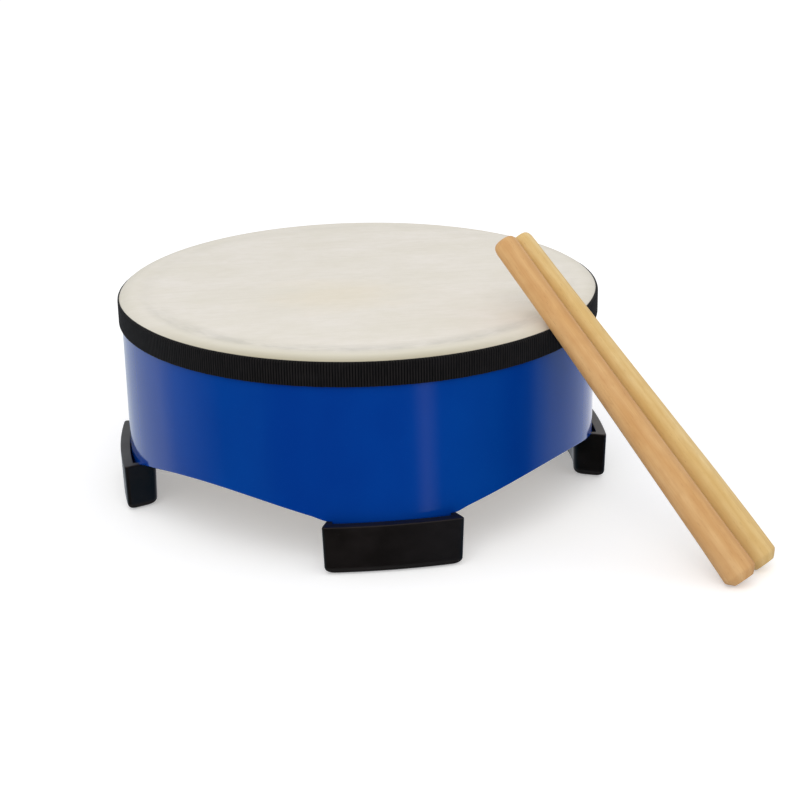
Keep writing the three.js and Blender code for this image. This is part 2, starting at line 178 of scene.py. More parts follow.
def make_piece(name, points, faces, body, replaced, materials, crease=40, place=None, choose=None):
    """A named piece from points in millimetres, with its normals out and its creases sharp."""
    mesh = bpy.data.meshes.new(name)
    mesh.from_pydata([tuple(float(value) / 1000 for value in point) for point in points], [], faces)
    work = bmesh.new()
    work.from_mesh(mesh)
    bmesh.ops.recalc_face_normals(work, faces=work.faces)
    work.to_mesh(mesh)
    work.free()
    for material in materials:
        mesh.materials.append(material)
    if choose:
        for polygon in mesh.polygons:
            polygon.material_index = choose(polygon)
    mesh.shade_smooth()
    mesh.set_sharp_from_angle(angle=math.radians(crease))
    piece = bpy.data.objects.new(name, mesh)
    bpy.context.scene.collection.objects.link(piece)
    if place is not None:
        piece.matrix_world = place
    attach(piece, body)
    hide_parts(*replaced)
    return piece


def round_axis(section, angles):
    """Points of a section, given as [radius, height], carried round the drum's axis."""
    section = np.asarray(section, float)
    points = []
    for angle in angles:
        points += [(AXIS.x + r * math.cos(angle), AXIS.y + r * math.sin(angle), z) for r, z in section]
    return points


def full_turn(count):
    return np.arange(count) * 2 * math.pi / count


def quarter_round(centre_r, centre_z, radius, start):
    """Points of a quarter circle in a section, from a start angle in degrees, anticlockwise."""
    turns = np.radians(np.linspace(start, start + 90, 5))
    return [(centre_r + radius * math.cos(t), centre_z + radius * math.sin(t)) for t in turns]


def rim_curve(offset, outer, inner, steps):
    """The rounded rim from its upright side to its flat top, below the outside of the hide by offset."""
    wide = HEAD_BEND - offset
    high = HEAD_DROP - offset
    turns = [math.acos(clamped((r - HEAD_FLAT) / wide)) for r in (outer, inner)]
    return [
        (HEAD_FLAT + wide * math.cos(t), RIM_CENTRE + high * math.sin(t))
        for t in np.linspace(turns[0], turns[1], steps + 1)
    ]


# Node materials

# The kinds of node that are used most
MATH = "ShaderNodeMath"
VECTOR_MATH = "ShaderNodeVectorMath"
MAP_RANGE = "ShaderNodeMapRange"
NOISE = "ShaderNodeTexNoise"
BUMP = "ShaderNodeBump"


def linear(code):
    """Linear colour of an sRGB hex colour."""
    parts = [int(code[i:i + 2], 16) / 255 for i in (1, 3, 5)]
    return (*(p / 12.92 if p <= 0.04045 else ((p + 0.055) / 1.055) ** 2.4 for p in parts), 1.0)


def feed(tree, node, links):
    """Links sources, or their first outputs, to the inputs of a node that they are listed under."""
    for key, source in links.items():
        tree.links.new(getattr(source, "outputs", [source])[0], node.inputs[key])


def add_node(tree, kind, settings=None, links=None):
    """Adds a node. Settings are its properties and the values of its inputs, links are what feeds its inputs."""
    node = tree.nodes.new(kind)
    for key, value in (settings or {}).items():
        if isinstance(key, int) or key in node.inputs:
            node.inputs[key].default_value = value
        else:
            setattr(node, key, value)
    feed(tree, node, links or {})
    return node


def add_pattern(tree, kind, place, size, settings=None):
    """Adds a pattern node whose grain measures so many millimetres along each axis."""
    steps = add_node(tree, VECTOR_MATH, {"operation": "MULTIPLY", 1: [1000 / mm for mm in size]}, {0: place})
    return add_node(tree, kind, {"Scale": 1.0, **(settings or {})}, {"Vector": steps})


def stain(tree, ground, colour, pattern, low, high, strength=1.0):
    """Lays a colour over the ground where a pattern goes from low to high."""
    share = add_node(tree, MAP_RANGE, {"From Min": low, "From Max": high, "To Max": strength}, {"Value": pattern})
    settings = {"data_type": "RGBA", 7: linear(colour)}
    links = {0: share}
    if isinstance(ground, str):
        settings[6] = linear(ground)
    else:
        links[6] = ground
    return add_node(tree, "ShaderNodeMix", settings, links).outputs[2]


def empty_material(name):
    """A material and its empty tree."""
    made = bpy.data.materials.new(name)
    made.use_nodes = True
    made.node_tree.nodes.clear()
    return made, made.node_tree


def new_material(name, settings):
    """A material with one Principled shader that has these settings. Returns it, its tree and the shader."""
    made, tree = empty_material(name)
    shader = add_node(tree, "ShaderNodeBsdfPrincipled", settings)
    add_node(tree, "ShaderNodeOutputMaterial", links={"Surface": shader})
    return made, tree, shader


def round_the_drum(tree):
    """Where a point of the drum is, in metres: from the axis, its turn from the front, its radius, and unrolled."""
    own = add_node(tree, "ShaderNodeTexCoord").outputs["Object"]
    place = add_node(tree, VECTOR_MATH, {"operation": "SUBTRACT", 1: (AXIS.x / 1000, AXIS.y / 1000, 0)},
                     {0: own}).outputs[0]
    x, y, z = add_node(tree, "ShaderNodeSeparateXYZ", links={0: place}).outputs
    back = add_node(tree, MATH, {"operation": "MULTIPLY", 1: -1.0}, {0: y})
    turn = add_node(tree, MATH, {"operation": "ARCTAN2"}, {0: x, 1: back}).outputs[0]
    level = add_node(tree, "ShaderNodeCombineXYZ", links={0: x, 1: y})
    radius = add_node(tree, VECTOR_MATH, {"operation": "LENGTH"}, {0: level}).outputs["Value"]
    arc = add_node(tree, MATH, {"operation": "MULTIPLY", 1: SHELL_RADIUS / 1000}, {0: turn})
    unrolled = add_node(tree, "ShaderNodeCombineXYZ", links={0: arc, 1: radius, 2: z}).outputs[0]
    return place, turn, radius, unrolled


def away_from(tree, turn, middle):
    """How far a turn lies from another one, on either side of it."""
    difference = add_node(tree, MATH, {"operation": "SUBTRACT", 1: middle}, {0: turn})
    return add_node(tree, MATH, {"operation": "ABSOLUTE"}, {0: difference})


def spray_lacquer():
    """Blue polyurethane lacquer, sprayed on bent plywood. The pigment lies under a clear gloss skin, so the body
    itself has no shine. The skin has orange peel and follows the slow waves of the bent sheet."""
    made, tree, shader = new_material("sprayed_gloss_lacquer", {
        "Roughness": 0.5, "IOR": 1.5, "Specular IOR Level": 0.0, "Coat Weight": 1.0, "Coat Roughness": 0.1,
        "Coat IOR": 1.5})
    place, turn, _, unrolled = round_the_drum(tree)
    cloud = add_pattern(tree, NOISE, place, (35, 35, 60), {"Detail": 3.0})
    # Specks of dust and fine scuffs, both drawn coarser than they are so that they show
    speck = add_pattern(tree, NOISE, place, (0.9, 0.9, 0.9), {"Detail": 1.0})
    scuff = add_pattern(tree, NOISE, unrolled, (14, 14, 1.5), {"Detail": 3.0})
    colour = stain(tree, "#00368e", "#003b94", cloud, 0.35, 0.65)
    colour = stain(tree, colour, "#0a4bae", speck, 0.68, 0.8, 0.3)
    colour = stain(tree, colour, "#1b55b0", scuff, 0.7, 0.8, 0.25)
    # The sheet's two ends meet in a long glued joint at the back, and the lacquer sinks a little there
    joint = add_node(tree, MAP_RANGE, {"From Min": 0.002, "From Max": 0.0045},
                     {"Value": away_from(tree, turn, JOINT_TURN)})
    colour = stain(tree, colour, "#002f80", joint, 1.0, 0.0, 0.6)
    peel = add_pattern(tree, NOISE, place, (1.3, 1.3, 1.3), {"Detail": 2.0, "Roughness": 0.6})
    wave = add_pattern(tree, NOISE, place, (30, 30, 90), {"Detail": 1.0})
    slow = add_node(tree, BUMP, {"Distance": 0.0003}, {"Height": wave})
    sunk = add_node(tree, BUMP, {"Distance": 0.0001}, {"Height": joint, "Normal": slow})
    skin = add_node(tree, BUMP, {"Distance": 0.000012}, {"Height": peel, "Normal": sunk})
    feed(tree, shader, {"Base Color": colour, "Normal": skin, "Coat Normal": skin})
    return made


def birch_plywood(name, pale, dark):
    """Birch plywood, peeled, sanded and left bare. Its fine grain runs round the ring with short brown pores, and
    where it is cut across, its veneers show as stripes."""
    made, tree, shader = new_material(name, {"Roughness": 0.62, "Specular IOR Level": 0.35})
    _, _, radius, unrolled = round_the_drum(tree)
    grain = add_pattern(tree, NOISE, unrolled, (60, 1.6, 1.6),
                        {"Detail": 4.0, "Roughness": 0.6, "Distortion": 0.4})
    # Pores, drawn about three times as wide as they are so that they show
    pore = add_pattern(tree, NOISE, unrolled, (4, 0.3, 0.3), {"Detail": 1.0})
    colour = stain(tree, pale, dark, grain, 0.3, 0.7)
    colour = stain(tree, colour, "#8a6a45", pore, 0.62, 0.8, 0.35)
    veneer = add_node(tree, MATH, {"operation": "PINGPONG", 1: VENEER / 1000}, {0: radius})
    stripe = add_node(tree, MAP_RANGE, {"From Min": 0.0004, "From Max": 0.0008}, {"Value": veneer})
    facing = add_node(tree, "ShaderNodeSeparateXYZ", links={
        0: add_node(tree, "ShaderNodeNewGeometry").outputs["True Normal"]}).outputs[2]
    level = add_node(tree, MATH, {"operation": "ABSOLUTE"}, {0: facing})
    cut = add_node(tree, MAP_RANGE, {"From Min": 0.5, "From Max": 0.9}, {"Value": level})
    end_grain = add_node(tree, MATH, {"operation": "MULTIPLY"}, {0: stripe, 1: cut})
    colour = stain(tree, colour, "#94703f", end_grain, 0.0, 1.0, 0.5)
    furrow = add_node(tree, BUMP, {"Distance": 0.00006}, {"Height": grain})
    feed(tree, shader, {"Base Color": colour, "Normal": furrow})
    return made


def limed_rawhide():
    """Rawhide, limed, scraped and dried under tension. It is cream and cloudy with faint scraper marks that all run
    one way. A grey ring of painted shade lies where it leaves the rim, and its bend over the rim is yellower and
    painted darker at the front, as painted shade."""
    made, tree, shader = new_material("limed_rawhide", {"IOR": 1.45, "Specular IOR Level": 0.35})
    place, turn, radius, unrolled = round_the_drum(tree)
    cloud = add_pattern(tree, NOISE, place, (38, 24, 38), {"Detail": 4.0, "Roughness": 0.55, "Distortion": 0.3})
    mottle = add_pattern(tree, NOISE, place, (7, 5, 7), {"Detail": 3.0, "Roughness": 0.6})
    scrape = add_pattern(tree, NOISE, place, (45, 1.8, 45), {"Detail": 3.0, "Roughness": 0.6, "Distortion": 0.2})
    # Pores, drawn about three times as coarse as they are so that they show
    pore = add_pattern(tree, NOISE, place, (0.6, 0.6, 0.6))
    colour = stain(tree, "#e9e3da", "#e2dccf", cloud, 0.3, 0.7)
    colour = stain(tree, colour, "#ddd7ca", mottle, 0.4, 0.75, 0.35)
    colour = stain(tree, colour, "#d8d1c3", scrape, 0.5, 0.8, 0.35)
    # A warm patch where the skin was thickest
    from_patch = add_node(tree, VECTOR_MATH,
                          {"operation": "SUBTRACT", 1: (-0.017, -0.022, HEAD_TOP / 1000)}, {0: place})
    squeezed = add_node(tree, VECTOR_MATH, {"operation": "MULTIPLY", 1: (0.6, 1, 1)}, {0: from_patch})
    patch = add_node(tree, VECTOR_MATH, {"operation": "LENGTH"}, {0: squeezed}).outputs["Value"]
    ragged = add_node(tree, MATH, {"operation": "MULTIPLY_ADD", 1: 0.05, 2: -0.025}, {0: cloud})
    patch = add_node(tree, MATH, {"operation": "ADD"}, {0: patch, 1: ragged})
    colour = stain(tree, colour, "#e0d1ab", patch, 0.032, 0.004, 0.28)
    # Painted shade: a grey ring where the hide leaves the flat and bends over the rim, with its radii in metres. It
    # is patchy, and strongest at the front
    shade_blotches = add_pattern(tree, NOISE, unrolled, (22, 8, 8), {"Detail": 3.0, "Roughness": 0.6})
    inside = add_node(tree, MAP_RANGE, {"From Min": 0.103, "From Max": 0.1115}, {"Value": radius})
    outside = add_node(tree, MAP_RANGE, {"From Min": 0.1175, "From Max": 0.113}, {"Value": radius})
    wear_and_shade = add_node(tree, MAP_RANGE, {"From Min": 0.3, "From Max": 0.58}, {"Value": shade_blotches})
    near_front_shade = add_node(tree, MAP_RANGE, {"From Min": 1.3, "From Max": 0.8, "To Min": 0.2},
                         {"Value": away_from(tree, turn, SHADE_RING_TURN)})
    ring = inside
    for share in (outside, wear_and_shade, near_front_shade):
        ring = add_node(tree, MATH, {"operation": "MULTIPLY"}, {0: ring, 1: share})
    colour = stain(tree, colour, "#a3a195", ring, 0.0, 1.0, 0.36)
    # The bend over the rim is yellower, and further out it is painted darker as painted shade, mostly at the front
    front_of_bend = add_node(tree, MAP_RANGE, {"From Min": 0.95, "From Max": 0.35, "To Min": 0.2},
                       {"Value": away_from(tree, turn, BEND_SHADE_TURN)})
    for tint, inner, outer, strength in (("#d5cfba", 0.111, 0.119, 0.75), ("#a9a188", 0.119, 0.1255, 0.9)):
        bend = add_node(tree, MAP_RANGE, {"From Min": inner, "From Max": outer}, {"Value": radius})
        bend_tint_and_shade = add_node(tree, MATH, {"operation": "MULTIPLY"}, {0: bend, 1: front_of_bend})
        colour = stain(tree, colour, tint, bend_tint_and_shade, 0.0, 1.0, strength)
    dull = add_node(tree, MAP_RANGE,
                    {"From Min": 0.3, "From Max": 0.7, "To Min": 0.45, "To Max": 0.6}, {"Value": mottle})
    uneven = add_node(tree, BUMP, {"Distance": 0.0003}, {"Height": cloud})
    scraped = add_node(tree, BUMP, {"Distance": 0.00004}, {"Height": scrape, "Normal": uneven})
    skin = add_node(tree, BUMP, {"Distance": 0.00003}, {"Height": pore, "Normal": scraped})
    feed(tree, shader, {"Base Color": colour, "Roughness": dull, "Normal": skin})
    return made


def grosgrain_tape():
    """Black polyester grosgrain. Thick cords lie side by side, dull with a little sheen on their crowns, and the
    grooves between them are painted darker, as painted shade."""
    made, tree, shader = new_material("grosgrain_tape", {
        "Roughness": 0.8, "Specular IOR Level": 0.12, "Sheen Weight": 0.04, "Sheen Roughness": 0.5})
    _, turn, _, unrolled = round_the_drum(tree)
    cords = add_node(tree, MATH, {"operation": "MULTIPLY", 1: float(CORDS)}, {0: turn})
    crown = add_node(tree, MATH, {"operation": "COSINE"}, {0: cords})
    each = add_pattern(tree, NOISE, unrolled, (1.6, 30, 8), {"Detail": 2.0, "Roughness": 0.7})
    # Twist of the yarn, drawn about twice as coarse as it is so that it shows
    yarn = add_pattern(tree, NOISE, unrolled, (0.4, 0.5, 0.9))
    worn = add_pattern(tree, NOISE, unrolled, (26, 9, 9), {"Detail": 3.0})
    # Painted shade: the grooves between the cords are painted darker than the crowns
    colour = stain(tree, "#1e1b1b", "#030202", crown, -0.3, 0.6)
    colour = stain(tree, colour, "#0a090a", each, 0.45, 0.7, 0.6)
    colour = stain(tree, colour, "#232123", yarn, 0.62, 0.8, 0.3)
    colour = stain(tree, colour, "#222022", worn, 0.55, 0.8, 0.3)
    twist = add_node(tree, BUMP, {"Distance": 0.00008}, {"Height": yarn})
    feed(tree, shader, {"Base Color": colour, "Normal": twist})
    return made


def moulded_rubber():
    """Hard black rubber from a spark-eroded mould: satin, with a fine even grit and a film of dust."""
    made, tree, shader = new_material("moulded_rubber", {
        "IOR": 1.52, "Specular IOR Level": 0.38, "Specular Tint": (1.0, 0.8, 0.7, 1.0)})
    place = add_node(tree, "ShaderNodeTexCoord").outputs["Object"]
    # The mould's grit and the lint on it, both drawn coarser than they are so that they show
    grit = add_pattern(tree, NOISE, place, (0.4, 0.4, 0.4), {"Roughness": 0.6})
    dust = add_pattern(tree, NOISE, place, (14, 14, 9), {"Detail": 4.0, "Roughness": 0.6})
    lint = add_pattern(tree, NOISE, place, (1.1, 1.1, 1.1), {"Detail": 1.0})
    colour = stain(tree, "#13110f", "#1c1918", dust, 0.4, 0.75)
    colour = stain(tree, colour, "#2b292c", grit, 0.66, 0.8, 0.3)
    colour = stain(tree, colour, "#5a585a", lint, 0.78, 0.84, 0.5)
    satin = add_node(tree, MAP_RANGE,
                     {"From Min": 0.3, "From Max": 0.7, "To Min": 0.34, "To Max": 0.44}, {"Value": dust})
    # The foot of the moulding is rubbed dull by the floor
    height = add_node(tree, "ShaderNodeSeparateXYZ", links={0: place}).outputs[2]
    wear_and_shade = add_node(tree, MAP_RANGE, {"From Min": 0.006, "From Max": 0.002, "To Max": 0.95}, {"Value": height})
    dulled = add_node(tree, MATH, {"operation": "MAXIMUM"}, {0: satin, 1: wear_and_shade})
    skin = add_node(tree, BUMP, {"Distance": 0.00002}, {"Height": grit})
    feed(tree, shader, {"Base Color": colour, "Roughness": dulled, "Normal": skin})
    return made


def plated_steel(name, bright, dull, roughness):
    """Steel with a thin bright plating, which has dulled in small patches."""
    made, tree, shader = new_material(name, {"Metallic": 1.0})
    place = add_node(tree, "ShaderNodeTexCoord").outputs["Object"]
    patch = add_pattern(tree, NOISE, place, (1.2, 1.2, 1.2), {"Detail": 3.0})
    colour = stain(tree, bright, dull, patch, 0.35, 0.7)
    dulled = add_node(tree, MAP_RANGE, {
        "From Min": 0.3, "From Max": 0.7, "To Min": roughness, "To Max": roughness + 0.15}, {"Value": patch})
    pitted = add_node(tree, BUMP, {"Distance": 0.00001}, {"Height": patch})
    feed(tree, shader, {"Base Color": colour, "Roughness": dulled, "Normal": pitted})
    return made


def turned_wood(name, stick, pale, middle, streak, fleck, heart):
    """Light hardwood, turned, sanded smooth and left raw. Broad soft bands and fine fibres run along the stick, with
    short pores. The tree's heart lay outside the stick, at a place given in metres, and the flank nearer it is
    painted darker as painted shade."""
    made, tree, shader = new_material(name, {"Roughness": 0.6, "Specular IOR Level": 0.15})
    own = add_node(tree, "ShaderNodeTexCoord").outputs["Object"]
    place = add_node(tree, "ShaderNodeMapping", {"vector_type": "TEXTURE", "Location": stick.to_translation(),
                                                 "Rotation": stick.to_euler()}, {"Vector": own})
    bent = add_pattern(tree, NOISE, place, (18, 18, 120))
    across = add_node(tree, VECTOR_MATH, {"operation": "MULTIPLY", 1: (1, 1, 0.02)}, {
        0: add_node(tree, VECTOR_MATH, {"operation": "SUBTRACT", 1: heart}, {0: place})})
    distance = add_node(tree, VECTOR_MATH, {"operation": "LENGTH"}, {0: across}).outputs["Value"]
    age = add_node(tree, MATH, {"operation": "MULTIPLY_ADD", 1: 0.006}, {0: bent, 2: distance})
    ring = add_node(tree, MATH, {"operation": "PINGPONG", 1: GROWTH_RING / 1000}, {0: age})
    # Fibres and, further down, pores: both are drawn a few times as wide as they are so that they show
    fibre = add_pattern(tree, NOISE, place, (0.7, 0.7, 24), {"Detail": 3.0, "Roughness": 0.6, "Distortion": 0.3})
    band = add_pattern(tree, NOISE, place, (6, 6, 45), {"Detail": 3.0})
    blotch = add_pattern(tree, NOISE, place, (5, 5, 9), {"Detail": 2.0})
    pore = add_pattern(tree, NOISE, place, (0.4, 0.4, 3.2), {"Detail": 1.0})
    mark = add_pattern(tree, NOISE, place, (1.6, 1.6, 7))
    colour = stain(tree, pale, middle, band, 0.3, 0.7)
    # Painted shade: the flank of the stick nearer the heart point is painted darker
    to_heart = math.hypot(heart[0], heart[1])
    lit_flank, shaded_flank = to_heart + 0.001, to_heart - 0.0075
    colour = stain(tree, colour, streak, distance, lit_flank, shaded_flank, 0.5)
    colour = stain(tree, colour, streak, blotch, 0.45, 0.8, 0.45)
    colour = stain(tree, colour, streak, ring, 0.0003, GROWTH_RING / 1000, 0.35)
    colour = stain(tree, colour, streak, fibre, 0.45, 0.75, 0.45)
    colour = stain(tree, colour, fleck, pore, 0.66, 0.78, 0.3)
    colour = stain(tree, colour, fleck, mark, 0.74, 0.8, 0.5)
    rough = add_node(tree, BUMP, {"Distance": 0.00003}, {"Height": fibre})
    pitted = add_node(tree, BUMP, {"Distance": 0.00002}, {"Height": pore, "Normal": rough})
    feed(tree, shader, {"Base Color": colour, "Normal": pitted})
    return made


# Feet

def end_corner(centre, radius, inset):
    """Where the foot's end, moved in by an inset, meets a circle centred on the foot's own X axis."""
    along = Vector((math.cos(FOOT_END_SLOPE), math.sin(FOOT_END_SLOPE)))
    outwards = Vector((-along.y, along.x))
    face = FOOT_FACE_CENTRE + math.sqrt(FOOT_FACE_RADIUS ** 2 - FOOT_HALF_WIDTH ** 2)
    start = Vector((face - centre, FOOT_HALF_WIDTH)) - outwards * inset
    reach = start.dot(along)
    corner = start + along * (math.sqrt(radius ** 2 - start.length_squared + reach ** 2) - reach)
    return Vector((corner.x + centre, corner.y)), math.atan2(corner.y, corner.x)


SLOT_HALF_ANGLE = end_corner(0, SLOT_INNER, FOOT_END_WALL)[1]
LEG_HALF_ANGLE = SLOT_HALF_ANGLE - CLEARANCE / SHELL_INNER
ARCH_HALF_ANGLE = end_corner(0, SHELL_RADIUS, 0)[1]


def bend_between(start, corner, end):
    """Points of a rounded corner, without its two ends."""
    steps = 7
    shares = [i / steps for i in range(1, steps)]
    return [start * (1 - s) ** 2 + corner * 2 * s * (1 - s) + end * s * s for s in shares]


def band_outline(outer, inner, outer_corner, inner_corner, outer_round, inner_round):
    """Outline of a curved band that points along +X. Outer and inner are (centre, radius) of its two arcs."""
    down = (inner_corner - outer_corner).normalized()

    def arc_end(circle, corner, rounding):
        centre, radius = circle
        turn = math.atan2(corner.y, corner.x - centre) - rounding / radius
        return turn, Vector((centre + radius * math.cos(turn), radius * math.sin(turn)))

    def arc(circle, first, last, steps):
        centre, radius = circle
        return [Vector((centre + radius * math.cos(t), radius * math.sin(t)))
                for t in np.linspace(first, last, steps + 1)][1:-1]

    outer_turn, face_end = arc_end(outer, outer_corner, outer_round)
    inner_turn, back_end = arc_end(inner, inner_corner, inner_round)
    near_outer = outer_corner + down * outer_round
    near_inner = inner_corner - down * inner_round
    half = [face_end, *bend_between(face_end, outer_corner, near_outer)]
    half += [near_outer.lerp(near_inner, i / 4) for i in range(5)]
    half += [*bend_between(near_inner, inner_corner, back_end), back_end]
    mirrored = [Vector((p.x, -p.y)) for p in reversed(half)]
    return arc(outer, -outer_turn, outer_turn, 44) + half + arc(inner, inner_turn, -inner_turn, 40) + mirrored


def foot_outline(inset):
    return band_outline((FOOT_FACE_CENTRE, FOOT_FACE_RADIUS - inset), (0, FOOT_BACK + inset),
                        end_corner(FOOT_FACE_CENTRE, FOOT_FACE_RADIUS - inset, inset)[0],
                        end_corner(0, FOOT_BACK + inset, inset)[0], FOOT_FACE_CORNER, FOOT_BACK_CORNER)


def slot_outline(widening):
    """Mouth of the slot for the leg, widened by so much."""
    outer = (FOOT_FACE_CENTRE, FOOT_FACE_RADIUS - FOOT_WALL + widening)
    inner = (0, SLOT_INNER - widening)
    outer_y = SLOT_OUTER * math.sin(SLOT_HALF_ANGLE) + widening
    inner_y = SLOT_INNER * math.sin(SLOT_HALF_ANGLE) + widening
    outer_corner = Vector((outer[0] + math.sqrt(outer[1] ** 2 - outer_y ** 2), outer_y))
    inner_corner = Vector((math.sqrt(inner[1] ** 2 - inner_y ** 2), inner_y))
    return band_outline(outer, inner, outer_corner, inner_corner, SLOT_CORNER, SLOT_CORNER)


def foot_layers():
    """Outlines and their heights, from the rim of the sole up the outside, over the top and down the slot."""
    layers = []

    def outside(height, rounding):
        layers.append((foot_outline(rounding + FOOT_DRAFT * (1 - height / FOOT_HEIGHT)), height))

    outside(0.0, FOOT_ROUND + 1.0)
    for turn in np.linspace(0, QUARTER, 10):
        outside(FOOT_ROUND * (1 - math.cos(turn)), FOOT_ROUND * (1 - math.sin(turn)))
    for height in (FOOT_ROUND + 0.8, 10, 15, 20, FOOT_HEIGHT - FOOT_TOP_EDGE - 0.8):
        outside(height, 0)
    for turn in np.linspace(0, QUARTER, 6):
        outside(FOOT_HEIGHT - FOOT_TOP_EDGE * (1 - math.sin(turn)), FOOT_TOP_EDGE * (1 - math.cos(turn)))
    outside(FOOT_HEIGHT, FOOT_TOP_EDGE + 0.3)
    layers.append((slot_outline(SLOT_LIP + 0.2), FOOT_HEIGHT))
    for turn in np.linspace(0, QUARTER, 4):
        layers.append((slot_outline(SLOT_LIP * (1 - math.sin(turn))), FOOT_HEIGHT - SLOT_LIP * (1 - math.cos(turn))))
    layers.append((slot_outline(0), FOOT_HEIGHT - SLOT_LIP - 0.8))
    layers.append((slot_outline(0), SLOT_BOTTOM))
    return layers


def make_foot(name, turn):
    layers = foot_layers()
    columns = len(layers[0][0])
    rotated = Matrix.Rotation(turn, 2)
    points = []
    for outline, height in layers:
        points += [(*(rotated @ p + AXIS), height) for p in outline]
    faces = grid_faces(len(layers), columns, False, True)
    last = (len(layers) - 1) * columns
    faces.append(tuple(range(columns)))
    faces.append(tuple(range(last, last + columns)))
    return make_piece(name + "_moulding", points, faces, "drum", [name], [rubber], crease=38)


# Shell: bent plywood ring with a scalloped lower edge and a leg over each foot

def lower_edge(turn):
    """Height and rounding of the shell's lower edge. It sits down on the foot's end walls."""
    from_foot = abs((turn + QUARTER / 2) % QUARTER - QUARTER / 2)
    if from_foot <= LEG_HALF_ANGLE:
        return LEG_BOTTOM, SHELL_EDGE_ROUND
    share = clamped((from_foot - ARCH_HALF_ANGLE) / (QUARTER / 2 - ARCH_HALF_ANGLE))
    away = eased(share, 0, 0.12)
    height = FOOT_HEIGHT + SEAT_GAP + (CLEARANCE - SEAT_GAP) * away + ARCH_HEIGHT * math.sin(share * QUARTER)
    return height, SEAT_EDGE_ROUND + (SHELL_EDGE_ROUND - SEAT_EDGE_ROUND) * away


def shell_angles():
    """Even turns, with close pairs where a leg's side stands upright."""
    turns = list(full_turn(720))
    for foot in range(4):
        for side in (-1, 1):
            edge = foot * QUARTER + side * LEG_HALF_ANGLE
            turns += [(edge - 1e-4) % (2 * math.pi), (edge + 1e-4) % (2 * math.pi)]
    return sorted(turns)


def shell_section(bottom, edge):
    """Closed section of the shell in [radius, height], from the outer foot of the wall round to the inner one."""
    outer = quarter_round(SHELL_RADIUS - edge, bottom + edge, edge, -90)
    inner = quarter_round(SHELL_INNER + edge, bottom + edge, edge, -180)
    start = bottom + edge + 0.5
    wall = [(SHELL_RADIUS, z) for z in np.linspace(start, RIM_CENTRE - 0.5, 14)]
    rim = rim_curve(WOOD_OFFSET, SHELL_RADIUS, SHELL_INNER, 6)
    back = [(SHELL_INNER, z) for z in np.linspace(rim[-1][1] - 0.5, start, 6)]
    return outer + wall + rim + back + inner


def make_shell():
    turns = shell_angles()
    points = []
    for turn in turns:
        points += round_axis(shell_section(*lower_edge(turn)), [turn])
    columns = len(points) // len(turns)

    def bare(polygon):
        """The inside of the shell is bare wood, and everything the spray reached is lacquered."""
        flat = Vector((polygon.center.x, polygon.center.y)) * 1000 - AXIS
        inner_face = SHELL_INNER + 0.3
        return 1 if flat.length < inner_face else 0

    return make_piece("shell_lacquered_ring", points, grid_faces(len(turns), columns, True, True), "drum",
                      ["shell"], [lacquer, shell_wood], choose=bare)


def make_hoop():
    """Flat plywood hoop glued inside the top of the shell."""
    bevel = 1.5
    section = [(HOOP_OUTER, z) for z in (HOOP_BOTTOM + 0.8, HOOP_BOTTOM + 9, HEAD_TOP - 4)]
    section += rim_curve(WOOD_OFFSET, HOOP_OUTER, HOOP_INNER, 4)
    section += [(HOOP_INNER, z) for z in (HEAD_TOP - 2, HOOP_BOTTOM + 9, HOOP_BOTTOM + bevel + 0.5)]
    section += quarter_round(HOOP_INNER + bevel, HOOP_BOTTOM + bevel, bevel, -180)
    section += [(HOOP_OUTER - 0.8, HOOP_BOTTOM), (HOOP_OUTER - 0.2, HOOP_BOTTOM + 0.2)]
    turns = full_turn(300)
    return make_piece("rim_hoop_ring", round_axis(section, turns),
                      grid_faces(len(turns), len(section), True, True), "drum", ["rim_hoop"],
                      [hoop_wood])


# Hide: a disc drawn over the rim, with the slight unevenness of a dried skin

def hide_sag(radius, turn):
    """Unevenness of the playing surface in millimetres at a radius and an angle from the axis."""
    x = radius * math.cos(turn)
    y = radius * math.sin(turn)
    slow = 0.05 * math.sin(x / 19 + 0.6) * math.sin(y / 23 - 0.9) + 0.035 * math.sin((x + 2 * y) / 17)
    near_rim = eased(radius, 92, 108) * (1 - eased(radius, 113, 119))
    pucker = 0.09 * math.sin(17 * turn + 0.8 * math.sin(5 * turn)) + 0.06 * math.sin(41 * turn + 1.3)
    fade = 1 - eased(radius, 112, 120)
    return slow * fade + pucker * near_rim - 0.1 * near_rim


def make_hide():
    turns = full_turn(288)
    radii = [2, 5, 9, 14, 20, 27, 34, 41, 48, 55, 62, 69, 76, 83, 89, 94, 98, 101, 104, 106.5, 109, 111, 113, 115]
    top = [(r, HEAD_TOP) for r in radii] + rim_curve(0, HEAD_RADIUS, HEAD_FLAT, 12)[::-1]
    skirt = [(HEAD_RADIUS, z) for z in (RIM_CENTRE - 1, 101, SKIRT_BOTTOM + 0.4, SKIRT_BOTTOM)]
    inner = HEAD_RADIUS - HEAD_THICKNESS
    inside = [(inner, z) for z in (SKIRT_BOTTOM, SKIRT_BOTTOM + 0.4, 101, RIM_CENTRE - 1)]
    under = rim_curve(HEAD_THICKNESS, inner, HEAD_FLAT, 8) + [(r, HEAD_TOP - HEAD_THICKNESS) for r in radii[::-1]]
    section = top + skirt + inside + under
    points = []
    for turn in turns:
        for radius, height in section:
            lift = hide_sag(radius, turn) if height > RIM_CENTRE else 0
            points.append((AXIS.x + radius * math.cos(turn), AXIS.y + radius * math.sin(turn), height + lift))
    faces = grid_faces(len(turns), len(section), True, False)
    for side, height in ((0, HEAD_TOP), (len(section) - 1, HEAD_TOP - HEAD_THICKNESS)):
        points.append((AXIS.x, AXIS.y, height + hide_sag(0, 0)))
        hub = len(points) - 1
        ring = [i * len(section) + side for i in range(len(turns))]
        faces += [(hub, ring[i], ring[(i + 1) % len(ring)]) for i in range(len(ring))]
    return make_piece("drumhead_hide", points, faces, "drum", ["drumhead"], [hide], crease=50)


# Tape: cords side by side round the rim, with a lapped end at the back

